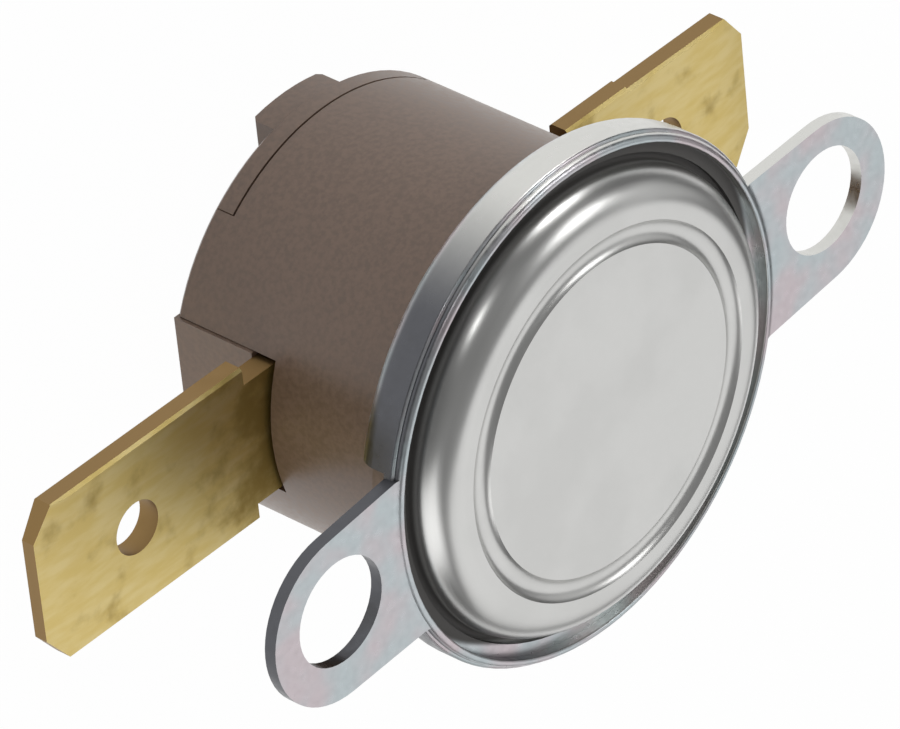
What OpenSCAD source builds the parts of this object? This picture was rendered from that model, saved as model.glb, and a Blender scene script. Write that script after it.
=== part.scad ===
// Bimetal snap-disc temperature switch with two blade terminals.
// Origin: midway between the two ear holes, on the ears' front face.
// +Z points out of the sensing cap, +X runs along the line of the ear holes.

/* [Mounting flange] */
// Distance between the two ear holes
hole_spacing = 23.8; // [22.8:0.1:26]
// Diameter of each ear hole
hole_d = 3.8; // [3:0.1:4.4]
// Radius of the rounded end of each ear
ear_end_r = 3.05; // [2.6:0.05:3.6]
// Angle by which each edge of an ear closes in toward its end
ear_taper = 1.5; // [0:0.5:6]
// Distance from the line of the ear holes to the ears' own middle line
ear_shift = -0.2; // [-0.3:0.02:0.3]
// Thickness of the flange sheet
flange_t = 0.45; // [0.35:0.05:0.6]
// Height of the rim's crest above the ears' front face
crest_rise = 0.12; // [0.1:0.01:0.2]
// Width of the rim, from its wall in the groove to the collar's outside
rim_w = 0.4; // [0.36:0.01:0.44]
// Radius at the crest's inner edge
rim_edge_r = 0.07; // [0.03:0.01:0.1]
// Width of the rounded ridge round the foot of the crest
ridge_w = 0.12; // [0.08:0.01:0.15]
// Depth of that ridge's outer edge below the ears' front face
ridge_depth = 0.25; // [0.24:0.01:0.3]
// Radius of the blend from an ear up into the crest
crest_blend = 0.5; // [0.3:0.05:0.8]
// How far the rim's inner ledge reaches in over the cap's lip
rim_ledge_reach = 0.43; // [0.3:0.01:0.5]
// Thickness of that ledge
rim_ledge_t = 0.2; // [0.15:0.05:0.3]
// Outside radius of the collar's rear corner
collar_round = 0.8; // [0.5:0.05:0.9]
// How far the crimped collar reaches in behind the body's shoulder
crimp_grip = 0.85; // [0.5:0.05:1.1]
// Space left between an ear's edge and the end of the collar
collar_gap = 0.15; // [0.05:0.05:0.4]

/* [Sensing cap] */
// How far the cap's drawn pad stands out past the moulded body
cap_over = 0.7; // [0.5:0.05:0.9]
// Thickness of the cap sheet
cap_t = 0.4; // [0.3:0.05:0.5]
// Height of the sensing face above the ears' front face
cap_rise = 0.95; // [0.8:0.05:1.4]
// Radius of the cap's rounded shoulder, at most what its wall's height leaves
cap_round = 1.25; // [0.9:0.05:1.25]
// Radius at the foot of the cap's wall
cap_foot_round = 0.15; // [0.05:0.05:0.3]
// Width of the flat land between the cap's shoulder and the ring pressed in its face
land_w = 0.35; // [0.2:0.05:0.6]
// Width of the ring pressed round the sensing face
ring_w = 0.8; // [0.6:0.05:1]
// Depth of that ring
ring_depth = 0.2; // [0.1:0.01:0.25]
// Width of the groove between the cap's wall and the flange's rim
groove_w = 0.68; // [0.64:0.02:0.9]

/* [Moulded body] */
// Distance from the bimetal disc's edge out to the moulded body's side
body_over = 0.7; // [0.5:0.05:0.9]
// Distance from the ears' front face back to the body's rear face
body_len = 11.2; // [11:0.1:13]
// Thickness of the body's wall
wall_t = 1.4; // [1.2:0.1:1.6]
// Thickness of the shoulder that the collar is crimped on
shoulder_t = 0.5; // [0.4:0.05:0.8]
// Thickness of the floor that the terminals lie on
floor_t = 1.2; // [1.1:0.1:2]
// Angle of the terminals to the line of the ear holes
terminal_turn = -4.5; // [-10:0.5:10]
// Thickness of the rear cover
cover_t = 0.8; // [0.6:0.05:1]
// Width of the cover between its two straight seams
cover_w = 9.2; // [8:0.1:10]
// Bevel round the rear edge of the body and of its cover
cover_bevel = 0.15; // [0.05:0.05:0.3]
// Open seam between the cover and the body's wall
seam_gap = 0.08; // [0.05:0.01:0.12]
// Width of the key bar across the cover
key_w = 3.2; // [2:0.1:5]
// Height of the key bar
key_h = 0.95; // [0.5:0.05:1.5]
// Width of each terminal slot in the body's wall
slot_w = 5.1; // [5:0.1:5.4]
// Depth of a cover tongue's flat face below the body's round side
tongue_sink = 0.45; // [0.2:0.05:0.7]
// How far a cover tongue reaches in past the chamber's wall
tongue_lap = 0.35; // [0.2:0.05:0.4]
// Depth of the slot's front edge in front of a terminal
slot_relief = 0.15; // [0.05:0.05:0.3]

/* [Terminals] */
// Distance from the ears' front face back to the terminals' front face
tab_depth = 7.03; // [6.6:0.05:7.2]
// Thickness of the terminal sheet
tab_t = 0.8; // [0.7:0.05:0.9]
// Width of each blade
tab_w = 6; // [5.8:0.1:6.4]
// Width of each terminal's neck through the body's wall
neck_w = 4.7; // [4.3:0.1:4.8]
// Distance from the body's middle to the terminals' own middle line
tab_shift = 0.3; // [0:0.05:0.3]
// Distance from the pin's side to a terminal's inner end
inner_gap = 1.2; // [0.6:0.1:1.3]
// Distance from the body's side to the shoulder of the fixed contact's blade
fixed_gap = 0.8; // [0.1:0.1:1.2]
// Length of the fixed contact's blade
fixed_len = 9.6; // [8:0.1:11]
// Distance from that blade's tip to its latch hole
fixed_latch = 4.3; // [3.5:0.1:5]
// Distance from the body's side to the shoulder of the arm's blade
arm_gap = 0.1; // [0.1:0.1:1.2]
// Length of the arm's blade
arm_len = 8.8; // [8:0.1:11]
// Distance from that blade's tip to its latch hole
arm_latch = 4.35; // [3.5:0.05:5]
// Diameter of the latch hole in each blade
latch_d = 1.9; // [1.4:0.1:2.4]
// Distance along the blade of the cut at each corner of the tip
tip_cut_len = 0.85; // [0.4:0.05:1.2]
// Distance across the blade of the cut at each corner of the tip
tip_cut_w = 1.1; // [0.5:0.05:1.6]
// Length of the lead-in bevel at the tip
tip_bevel_len = 1.5; // [0.8:0.1:2]
// Depth of the lead-in bevel on each face
tip_bevel = 0.15; // [0.05:0.05:0.25]
// Bevel along the long edges of a blade
edge_bevel = 0.1; // [0.05:0.05:0.2]
// Length of the wider root of the arm's terminal
root_len = 3; // [1:0.1:3.2]
// Amount by which that root is wider on each side
root_step = 0.1; // [0.05:0.05:0.2]

/* [Snap disc and pin] */
// Diameter of the bimetal disc
disc_d = 13.4; // [13:0.1:14]
// Thickness of the bimetal disc
disc_t = 0.25; // [0.15:0.05:0.3]
// Height of the disc's dome
disc_dome = 0.35; // [0.25:0.05:0.4]
// Thickness of the pin guide's flange
guide_t = 0.4; // [0.3:0.05:0.5]
// Length of the pin guide's hub
hub_len = 1.6; // [1.2:0.1:2.4]
// Thickness of the pin guide's web under the disc
web_t = 0.6; // [0.4:0.05:0.8]
// Width of the ledge that carries the disc's rim
ledge_w = 0.5; // [0.3:0.05:0.7]
// Wall of the pin guide round the dish under the disc
guide_wall = 0.7; // [0.5:0.05:0.8]
// Depth of the step in the body's front that carries the pin guide
seat_t = 0.6; // [0.5:0.05:0.8]
// Diameter of the transfer pin
pin_d = 2; // [1.6:0.1:2.2]
// Wall of the boss round the pin's bore
boss_wall = 1.1; // [0.8:0.1:1.6]
// Free play at each end of the pin
pin_play = 0.05; // [0.02:0.01:0.1]

/* [Contacts] */
// Diameter of the contact heads
contact_d = 2.6; // [2:0.1:3]
// Thickness of a contact head
contact_t = 0.37; // [0.3:0.01:0.45]
// Distance from the chamber's wall in to the middle of the contacts
contact_inset = 2.2; // [2.1:0.1:2.3]
// Thickness of the spring arm
arm_t = 0.2; // [0.15:0.05:0.25]
// Width of the spring arm
arm_w = 4; // [3:0.1:4.2]
// Length of the arm's slope between its foot and its blade
bend_run = 0.8; // [0.6:0.1:1]
// Distance from a cover tongue in to the middle of the arm's rivet
rivet_inset = 1.25; // [1.15:0.05:1.35]
// Diameter of the rivet's shank, and of the contacts' shanks
shank_d = 1.4; // [1:0.1:1.5]
// Diameter of the rivet's heads and of the contacts' upset tails
upset_d = 2; // [1.8:0.1:2.2]
// Thickness of those heads and tails
upset_t = 0.25; // [0.2:0.05:0.3]

/* [Clearances] */
// Between pieces that are pressed or crimped together
fit = 0.03; // [0.02:0.01:0.05]
// Between the pin and its bore, on the radius
pin_clear = 0.05; // [0.03:0.01:0.08]
// Between the closed contacts
contact_clear = 0.02; // [0.01:0.01:0.04]
// Round loose pieces, and past pieces that move
free = 0.3; // [0.2:0.05:0.4]

/* [Hidden] */
$fn = 96;
// Steps along a rounded stretch of a profile
arc_steps = 8;
// Overrun of a cut past the face it opens
over = 1;

// Radii, from the disc outward and then from the body inward
disc_r = disc_d / 2;
dish_r = disc_r - ledge_w;
seat_r = dish_r + guide_wall;
body_r = disc_r + body_over;
cap_r = body_r + cap_over;
rim_r = cap_r + groove_w;
collar_r = rim_r + rim_w;
wall_r = collar_r - flange_t;
shoulder_r = wall_r - fit;
crimp_r = shoulder_r - crimp_grip;
chamber_r = body_r - wall_t;
shoulder_round = min(cap_round, cap_rise + flange_t - cap_foot_round);
ring_r = cap_r - shoulder_round - land_w - ring_w / 2;
pin_r = pin_d / 2;
hole_x = hole_spacing / 2;

// Distances from the axis along the terminals
tongue_reach = body_r - tongue_sink;
tongue_root = chamber_r - tongue_lap;
inner_end = pin_r + inner_gap;
fixed_shoulder = body_r + fixed_gap;
fixed_tip = fixed_shoulder + fixed_len;
arm_shoulder = body_r + arm_gap;
arm_tip = arm_shoulder + arm_len;
contact_reach = chamber_r - contact_inset;
rivet_reach = tongue_root - rivet_inset;
foot_start = rivet_reach - upset_d / 2;
bend_reach = foot_start - bend_run;

// Heights, from the cap back to the key bar
ear_back = -flange_t;
lip_back = ear_back - cap_t;
shoulder_back = lip_back - shoulder_t;
collar_back = shoulder_back - flange_t;
ledge_z = lip_back + guide_t;
seat_back = lip_back - seat_t;
hub_back = lip_back - hub_len;
dish_z = ledge_z - disc_dome - free;
web_back = dish_z - web_t;
tab_front = -tab_depth;
tab_back = tab_front - tab_t;
slot_z = tab_front + slot_relief;
rear_z = -body_len;
seam_z = rear_z + cover_t;
key_z = rear_z - key_h;
fixed_face = tab_back - contact_t;
moving_face = fixed_face - contact_clear;
arm_front = moving_face - contact_t;
arm_back = arm_front - arm_t;
pin_top = ledge_z - pin_play;
pin_bottom = arm_front + pin_play;

// Rounded crest of the flange's rim, and the blend from an ear up into it
crest_r = rim_w - rim_edge_r - ridge_w;
crest_x = rim_r + rim_edge_r;
crest_z = crest_rise - crest_r;
blend_end_r = crest_r - fit / 2;
blend_x = crest_x + sqrt((blend_end_r + crest_blend) ^ 2 - (crest_blend - crest_z) ^ 2);
blend_turn = atan2(crest_blend - crest_z, blend_x - crest_x);

// Half the width of an ear at the flange's crest, and of its edges carried on to the axis
ear_root_half = ear_end_r / cos(ear_taper) + (hole_x - crest_x) * tan(ear_taper);
ear_axis_half = ear_root_half + crest_x * tan(ear_taper);

// Arc that the ring in the cap's face is pressed to, and the same arc on the sheet's inside
ring_round = (ring_w ^ 2 / 4 + ring_depth ^ 2) / (2 * ring_depth);
ring_z = cap_rise + ring_round - ring_depth;
ring_turn = asin(ring_w / 2 / ring_round);
ring_back_round = ring_round + cap_t;
ring_back_turn = acos((ring_z - cap_rise + cap_t) / ring_back_round);

// Radius of the sphere that the disc's inner face lies on
dome_r = (disc_r ^ 2 + disc_dome ^ 2) / (2 * disc_dome);
dome_turn = asin(disc_r / dome_r);

brown = [0.45, 0.38, 0.34];
zinc = [0.80, 0.79, 0.80];
aluminium = [0.82, 0.82, 0.81];
brass = [0.80, 0.69, 0.38];
silver = [0.87, 0.87, 0.86];
copper = [0.78, 0.52, 0.34];
ceramic = [0.92, 0.91, 0.88];
steel = [0.62, 0.62, 0.64];

// Points along an arc about a centre, from one angle to another
function arc(centre, r, from, to) = [
    for (i = [0 : arc_steps])
        let (a = from + (to - from) * i / arc_steps)
            [centre.x + r * cos(a), centre.y + r * sin(a)]
];

// Turns the moulded body and what it carries to the terminals' direction
module at_terminals() {
    rotate([0, 0, terminal_turn]) children();
}

// Places a piece on both sides of the axis, as a mirrored pair
module on_both_sides() {
    children();
    mirror([1, 0, 0]) children();
}

// A box centred in X and Y, between two heights
module slab(x, y, z_low, z_high) {
    translate([-x / 2, -y / 2, z_low]) cube([x, y, z_high - z_low]);
}

// A round piece between two heights
module disc(r, z_low, z_high) {
    translate([0, 0, z_low]) cylinder(r = r, h = z_high - z_low);
}

// The body's round side up to a height, with its rear edge bevelled
module bevelled_disc(z_high) {
    disc(body_r, rear_z + cover_bevel, z_high);
    translate([0, 0, rear_z]) cylinder(r1 = body_r - cover_bevel, r2 = body_r, h = cover_bevel);
}

// Outline of one ear out of the crest, with its edges tangent to its round end
module ear_outline() {
    end_x = hole_x + ear_end_r * sin(ear_taper);
    end_y = ear_end_r * cos(ear_taper);
    difference() {
        translate([0, ear_shift]) {
            translate([hole_x, 0]) circle(r = ear_end_r);
            polygon([[0, -ear_axis_half], [end_x, -end_y], [end_x, end_y], [0, ear_axis_half]]);
        }
        circle(r = crest_x);
    }
}

// Rim round the groove, with the ledge that holds the cap's lip down and the ridge at its foot
module crest_profile() {
    ledge_r = rim_r - rim_ledge_reach;
    ledge_top = ear_back + rim_ledge_t;
    polygon(concat(
        [[ledge_r, ear_back], [ledge_r, ledge_top], [rim_r, ledge_top]],
        arc([crest_x, crest_rise - rim_edge_r], rim_edge_r, 180, 90 + 90 / arc_steps),
        arc([crest_x, crest_z], crest_r, 90, 0),
        arc([collar_r - ridge_w, -ridge_depth], ridge_w, 90, 0),
        [[collar_r, ear_back - fit], [wall_r, ear_back - fit], [wall_r, ear_back]]
    ));
}

// Collar down the outside of the stack and in behind the body's shoulder
module collar_profile() {
    corner = [collar_r - collar_round, collar_back + collar_round];
    polygon(concat(
        [[wall_r, ear_back], [collar_r, ear_back]],
        arc(corner, collar_round, 0, -90),
        [[crimp_r, collar_back], [crimp_r, shoulder_back], [wall_r, shoulder_back]]
    ));
}

// Blend from the ear's face up into the crest
module blend_profile() {
    polygon(concat(
        [[crest_x, ear_back / 2], [blend_x, ear_back / 2]],
        arc([blend_x, crest_blend], crest_blend, 270, 180 + blend_turn),
        [[crest_x, crest_z + blend_end_r * sin(blend_turn)]]
    ));
}

module mounting_flange() {
    color(zinc) difference() {
        union() {
            rotate_extrude() crest_profile();
            difference() {
                rotate_extrude() collar_profile();
                translate([0, ear_shift, 0])
                    slab(4 * collar_r, 2 * (ear_root_half + collar_gap), collar_back - over, over);
            }
            translate([0, 0, ear_back]) linear_extrude(flange_t) on_both_sides() ear_outline();
            intersection() {
                rotate_extrude() blend_profile();
                translate([0, 0, ear_back])
                    linear_extrude(crest_rise - ear_back) on_both_sides() ear_outline();
            }
        }
        on_both_sides() translate([hole_x, 0, 0]) disc(hole_d / 2, ear_back - over, over);
    }
}

// Section of the drawn cap, from its lip over the shoulder and the pressed ring to the sensing face
module cap_profile() {
    shoulder = [cap_r - shoulder_round, cap_rise - shoulder_round];
    foot = [cap_r + cap_foot_round, ear_back + cap_foot_round];
    ring = [ring_r, ring_z];
    polygon(concat(
        [[shoulder_r, lip_back], [shoulder_r, ear_back]],
        arc(foot, cap_foot_round, 270, 180),
        arc(shoulder, shoulder_round, 0, 90),
        arc(ring, ring_round, 270 + ring_turn, 270 - ring_turn),
        [[0, cap_rise], [0, cap_rise - cap_t]],
        arc(ring, ring_back_round, 270 - ring_back_turn, 270 + ring_back_turn),
        arc(shoulder, shoulder_round - cap_t, 90, 0),
        arc(foot, cap_foot_round + cap_t, 180, 270)
    ));
}

module sensor_cap() {
    color(aluminium) rotate_extrude() cap_profile();
}

// Domed sheet, shown cool, with its dome toward the cap
module bimetal_disc() {
    centre = [0, ledge_z + disc_dome - dome_r];
    color(steel) rotate_extrude() polygon(concat(
        arc(centre, dome_r, 90, 90 - dome_turn),
        arc(centre, dome_r + disc_t, 90 - dome_turn, 90)
    ));
}

module pin_guide() {
    flange_r = cap_r - cap_t - fit;
    hub_r = chamber_r - fit;
    boss_r = pin_r + pin_clear + boss_wall;
    color(brown) difference() {
        union() {
            disc(flange_r, lip_back, ledge_z);
            disc(seat_r - fit, seat_back, lip_back);
            disc(hub_r, hub_back, seat_back);
            disc(boss_r, hub_back - web_t, hub_back);
        }
        disc(dish_r, dish_z, ledge_z + over);
        difference() {
            disc(hub_r - wall_t, hub_back - over, web_back);
            disc(boss_r, hub_back - over, web_back);
        }
        disc(pin_r + pin_clear, hub_back - over, ledge_z);
    }
}

module transfer_pin() {
    color(ceramic) disc(pin_r, pin_bottom, pin_top);
}

// Wall cut for one terminal, open to the rear for its cover tongue
module terminal_slot() {
    translate([chamber_r - wall_t, tab_shift - slot_w / 2, rear_z - over])
        cube([2 * wall_t + over, slot_w, slot_z - rear_z + over]);
}

// Room in the floor for the upset tail of a rivet or contact
module tail_pocket(reach) {
    translate([reach, 0, 0]) disc(upset_d / 2 + free, tab_front - over, tab_front + upset_t + free);
}

module housing() {
    color(brown) at_terminals() difference() {
        union() {
            bevelled_disc(lip_back);
            disc(shoulder_r, shoulder_back, lip_back);
        }
        disc(chamber_r, tab_front + floor_t, over);
        disc(seat_r, seat_back, over);
        disc(chamber_r, rear_z - over, tab_front);
        disc(pin_r + free, rear_z - over, over);
        tail_pocket(-contact_reach);
        tail_pocket(rivet_reach);
        slab(cover_w + 2 * fit, 4 * body_r, rear_z - over, seam_z + seam_gap);
        on_both_sides() terminal_slot();
    }
}

// Plate that fills the rear opening, with straight seams beside the two raised walls
module cover_plate() {
    disc(chamber_r - fit, rear_z, seam_z);
    intersection() {
        bevelled_disc(seam_z);
        slab(cover_w, 4 * body_r, rear_z, seam_z);
    }
}

// Tongue that closes a terminal slot and holds the terminal down
module cover_tongue() {
    tongue_w = slot_w - 2 * fit;
    translate([tongue_root, tab_shift - tongue_w / 2, rear_z])
        cube([tongue_reach - tongue_root, tongue_w, tab_back - rear_z]);
}

// Bar across the cover, its ends in line with the body's side
module key_bar() {
    intersection() {
        disc(body_r - cover_bevel, key_z, seam_z);
        rotate([90, 0, 0]) linear_extrude(4 * body_r, center = true) polygon([
            [-key_w / 2, seam_z], [-key_w / 2, key_z + cover_bevel], [-key_w / 2 + cover_bevel, key_z],
            [key_w / 2 - cover_bevel, key_z], [key_w / 2, key_z + cover_bevel], [key_w / 2, seam_z]
        ]);
    }
}

module rear_cover() {
    color(brown) at_terminals() {
        cover_plate();
        key_bar();
        on_both_sides() cover_tongue();
    }
}

// Outline of a terminal along +X, from its inner end to its tip
module terminal_outline(shoulder, tip) {
    half = tab_w / 2;
    polygon([
        [shoulder, -half], [tip - tip_cut_len, -half], [tip, tip_cut_w - half],
        [tip, half - tip_cut_w], [tip - tip_cut_len, half], [shoulder, half]
    ]);
}

// Side view of a blade, thinned at its tip
module blade_side(shoulder, tip) {
    polygon([
        [shoulder, tab_back], [tip - tip_bevel_len, tab_back], [tip, tab_back + tip_bevel],
        [tip, tab_front - tip_bevel], [tip - tip_bevel_len, tab_front], [shoulder, tab_front]
    ]);
}

// End view of a strip with its long edges bevelled
module strip_end(w) {
    half = w / 2;
    polygon([
        [-half, tab_back + edge_bevel], [edge_bevel - half, tab_back],
        [half - edge_bevel, tab_back], [half, tab_back + edge_bevel],
        [half, tab_front - edge_bevel], [half - edge_bevel, tab_front],
        [edge_bevel - half, tab_front], [-half, tab_front - edge_bevel]
    ]);
}

// Blade with a lead-in tip and bevelled edges
module blade(shoulder, tip) {
    intersection() {
        translate([0, 0, tab_back]) linear_extrude(tab_t) terminal_outline(shoulder, tip);
        rotate([90, 0, 0]) linear_extrude(2 * tab_w, center = true) blade_side(shoulder, tip);
        rotate([90, 0, 90]) linear_extrude(tip + over) strip_end(tab_w);
    }
}

// Neck through the wall, from the inner end to the blade
module neck(shoulder) {
    translate([inner_end, -neck_w / 2, tab_back]) cube([shoulder - inner_end, neck_w, tab_t]);
}

// A terminal toward +X with its latch hole and the hole for its contact or rivet
module terminal(shoulder, tip, latch, seat) {
    difference() {
        translate([0, tab_shift, 0]) {
            blade(shoulder, tip);
            neck(shoulder);
            children();
        }
        translate([latch, tab_shift, 0]) disc(latch_d / 2, tab_back - over, tab_front + over);
        translate([seat, 0, 0]) disc(shank_d / 2 + fit, tab_back - over, tab_front + over);
    }
}

module fixed_terminal() {
    color(brass) at_terminals() mirror([1, 0, 0])
        terminal(fixed_shoulder, fixed_tip, fixed_tip - fixed_latch, contact_reach);
}

module arm_terminal() {
    color(brass) at_terminals()
        terminal(arm_shoulder, arm_tip, arm_tip - arm_latch, rivet_reach)
            translate([arm_shoulder, 0, 0]) rotate([90, 0, 90])
                linear_extrude(root_len) strip_end(tab_w + 2 * root_step);
}

// Contact with its head's face down and its tail upset above
module fixed_contact() {
    color(silver) at_terminals() translate([-contact_reach, 0, 0]) {
        disc(contact_d / 2, fixed_face, tab_back);
        disc(shank_d / 2, tab_back, tab_front);
        disc(upset_d / 2, tab_front, tab_front + upset_t);
    }
}

// Side view of the spring arm: foot under its terminal, bend, and blade under the contacts
module arm_side() {
    foot_end = tongue_root - free;
    polygon([
        [foot_end, tab_back], [foot_start, tab_back], [bend_reach, arm_front],
        [-contact_reach - contact_d / 2, arm_front], [-contact_reach - contact_d / 2, arm_back],
        [bend_reach + arm_t / 2, arm_back], [foot_start + arm_t / 2, tab_back - arm_t],
        [foot_end, tab_back - arm_t]
    ]);
}

// Outline of the spring arm, round under the contact
module arm_outline() {
    translate([-contact_reach, 0]) circle(d = contact_d);
    polygon([
        [-contact_reach, -contact_d / 2], [bend_reach, -arm_w / 2], [tongue_root, -arm_w / 2],
        [tongue_root, arm_w / 2], [bend_reach, arm_w / 2], [-contact_reach, contact_d / 2]
    ]);
}

module contact_arm() {
    color(copper) at_terminals() difference() {
        intersection() {
            rotate([90, 0, 0]) linear_extrude(2 * arm_w, center = true) arm_side();
            translate([0, 0, arm_back]) linear_extrude(tab_back - arm_back) arm_outline();
        }
        for (reach = [-contact_reach, rivet_reach])
            translate([reach, 0, 0]) disc(shank_d / 2 + fit, arm_back - over, tab_back + over);
    }
}

module moving_contact() {
    color(silver) at_terminals() translate([-contact_reach, 0, 0]) {
        disc(contact_d / 2, arm_front, moving_face);
        disc(shank_d / 2, arm_back, arm_front);
        disc(upset_d / 2, arm_back - upset_t, arm_back);
    }
}

// Rivet that holds the arm's foot on its terminal
module arm_rivet() {
    color(brass) at_terminals() translate([rivet_reach, 0, 0]) {
        disc(upset_d / 2, tab_back - arm_t - upset_t, tab_back - arm_t);
        disc(shank_d / 2, tab_back - arm_t, tab_front);
        disc(upset_d / 2, tab_front, tab_front + upset_t);
    }
}

mounting_flange();
sensor_cap();
bimetal_disc();
pin_guide();
transfer_pin();
housing();
rear_cover();
fixed_terminal();
arm_terminal();
fixed_contact();
contact_arm();
moving_contact();
arm_rivet();
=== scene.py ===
"""Looks of a bimetal snap-disc temperature switch, dressed on its CAD frame."""

import logging
import math
from dataclasses import dataclass
from enum import Enum

import bmesh
import bpy
from mathutils import Matrix, Vector


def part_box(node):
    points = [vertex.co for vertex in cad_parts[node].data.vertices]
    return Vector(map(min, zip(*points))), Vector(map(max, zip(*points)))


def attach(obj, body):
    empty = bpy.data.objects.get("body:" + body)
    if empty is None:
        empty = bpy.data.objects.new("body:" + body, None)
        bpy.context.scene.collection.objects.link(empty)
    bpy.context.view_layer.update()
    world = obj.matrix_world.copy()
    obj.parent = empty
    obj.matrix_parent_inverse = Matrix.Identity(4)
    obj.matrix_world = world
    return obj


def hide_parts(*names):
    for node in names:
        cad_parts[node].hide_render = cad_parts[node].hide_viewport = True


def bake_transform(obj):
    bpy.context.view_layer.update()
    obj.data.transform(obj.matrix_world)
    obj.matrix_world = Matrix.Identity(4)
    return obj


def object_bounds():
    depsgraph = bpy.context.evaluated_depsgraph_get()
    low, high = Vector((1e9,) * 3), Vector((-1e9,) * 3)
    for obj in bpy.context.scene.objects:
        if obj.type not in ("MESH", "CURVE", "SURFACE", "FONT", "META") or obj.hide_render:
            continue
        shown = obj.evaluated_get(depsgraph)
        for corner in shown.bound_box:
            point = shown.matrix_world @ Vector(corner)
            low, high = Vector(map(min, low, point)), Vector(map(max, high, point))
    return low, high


LOG = logging.getLogger("temperature_switch")
MM = 0.001
# Points nearer than this are one point
MERGE = 0.0002 * MM
# Two faces that meet at more than this angle keep a sharp edge
SHARP_DEG = 32.0

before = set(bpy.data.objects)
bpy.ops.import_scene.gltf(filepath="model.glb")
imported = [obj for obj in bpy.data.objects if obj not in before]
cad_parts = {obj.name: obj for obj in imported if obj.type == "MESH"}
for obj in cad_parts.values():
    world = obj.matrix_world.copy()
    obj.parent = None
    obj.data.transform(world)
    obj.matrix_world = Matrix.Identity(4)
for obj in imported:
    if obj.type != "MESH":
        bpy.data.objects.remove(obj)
CAD_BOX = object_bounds()

Profile = list[tuple[float, float]]
Inputs = dict[str | int, object]
SOFT = {"interpolation_type": "SMOOTHSTEP"}


class Body(Enum):
    """Rigid bodies that the pieces ride on."""

    SWITCH = "switch_body"
    PIN = "pin"
    ARM = "arm"


class Slot(Enum):
    """Material slots of the record."""

    ZINC = "zinc_plated_steel"
    ALUMINIUM = "satin_aluminium"
    BIMETAL = "bimetal"
    PHENOLIC = "brown_phenolic"
    CERAMIC = "white_ceramic"
    BRASS = "brass_sheet"
    SILVER = "contact_silver"
    COPPER = "spring_copper"


def linear(hex_colour: str) -> tuple[float, float, float, float]:
    """Turns an sRGB hex colour to linear.

    Args:
        hex_colour: Colour such as "#c8af5f".

    Returns:
        Red, green, blue and alpha, linear.
    """
    channels = [int(hex_colour[i : i + 2], 16) / 255 for i in (1, 3, 5)]
    red, green, blue = (c / 12.92 if c <= 0.04045 else ((c + 0.055) / 1.055) ** 2.4 for c in channels)
    return (red, green, blue, 1.0)


def per_mm(size_mm: float) -> float:
    """Texture scale at which a pattern's features are about that many millimetres."""
    return 1.0 / (size_mm * MM)


def add(
    tree: bpy.types.NodeTree, kind: str, inputs: Inputs | None = None, **settings: object
) -> bpy.types.Node:
    """Adds a node with its settings and links.

    Args:
        tree: Node tree that gets the node.
        kind: Blender's name for the node type.
        inputs: Values or output sockets, by the input's name or number.
        **settings: Properties of the node.

    Returns:
        The new node.
    """
    node = tree.nodes.new(kind)
    for name, value in settings.items():
        setattr(node, name, value)
    for key, value in (inputs or {}).items():
        if isinstance(value, bpy.types.NodeSocket):
            tree.links.new(value, node.inputs[key])
        else:
            node.inputs[key].default_value = value
    return node


def object_z(tree: bpy.types.NodeTree, place: bpy.types.Node) -> bpy.types.NodeSocket:
    """Height of the shaded point in the part's frame.

    Args:
        tree: Node tree.
        place: Texture Coordinate node.

    Returns:
        Z in metres.
    """
    return add(tree, "ShaderNodeSeparateXYZ", {0: place.outputs["Object"]}).outputs["Z"]


def from_axis(tree: bpy.types.NodeTree, place: bpy.types.Node) -> bpy.types.NodeSocket:
    """Distance of the shaded point from the body's axis.

    Args:
        tree: Node tree.
        place: Texture Coordinate node.

    Returns:
        Radius in metres.
    """
    flat = {0: place.outputs["Object"], 1: (1, 1, 0)}
    across = add(tree, "ShaderNodeVectorMath", flat, operation="MULTIPLY").outputs[0]
    return add(tree, "ShaderNodeVectorMath", {0: across}, operation="LENGTH").outputs["Value"]


def upright(
    tree: bpy.types.NodeTree, place: bpy.types.Node, wall: float = 0.25, flat: float = 0.75
) -> bpy.types.NodeSocket:
    """Mask of the faces that stand along Z, such as the cut edges of a flat sheet.

    Args:
        tree: Node tree.
        place: Texture Coordinate node.
        wall: Share of Z in the normal below which a face counts as standing.
        flat: Share of Z in the normal above which a face counts as lying.

    Returns:
        1 where the surface stands along Z and 0 where it lies across it.
    """
    parts = add(tree, "ShaderNodeSeparateXYZ", {0: place.outputs["Normal"]})
    facing = add(tree, "ShaderNodeMath", {0: parts.outputs["Z"]}, operation="ABSOLUTE")
    fade = {0: facing.outputs[0], 1: wall, 2: flat, 3: 1.0, 4: 0.0}
    return add(tree, "ShaderNodeMapRange", fade, **SOFT).outputs[0]


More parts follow.
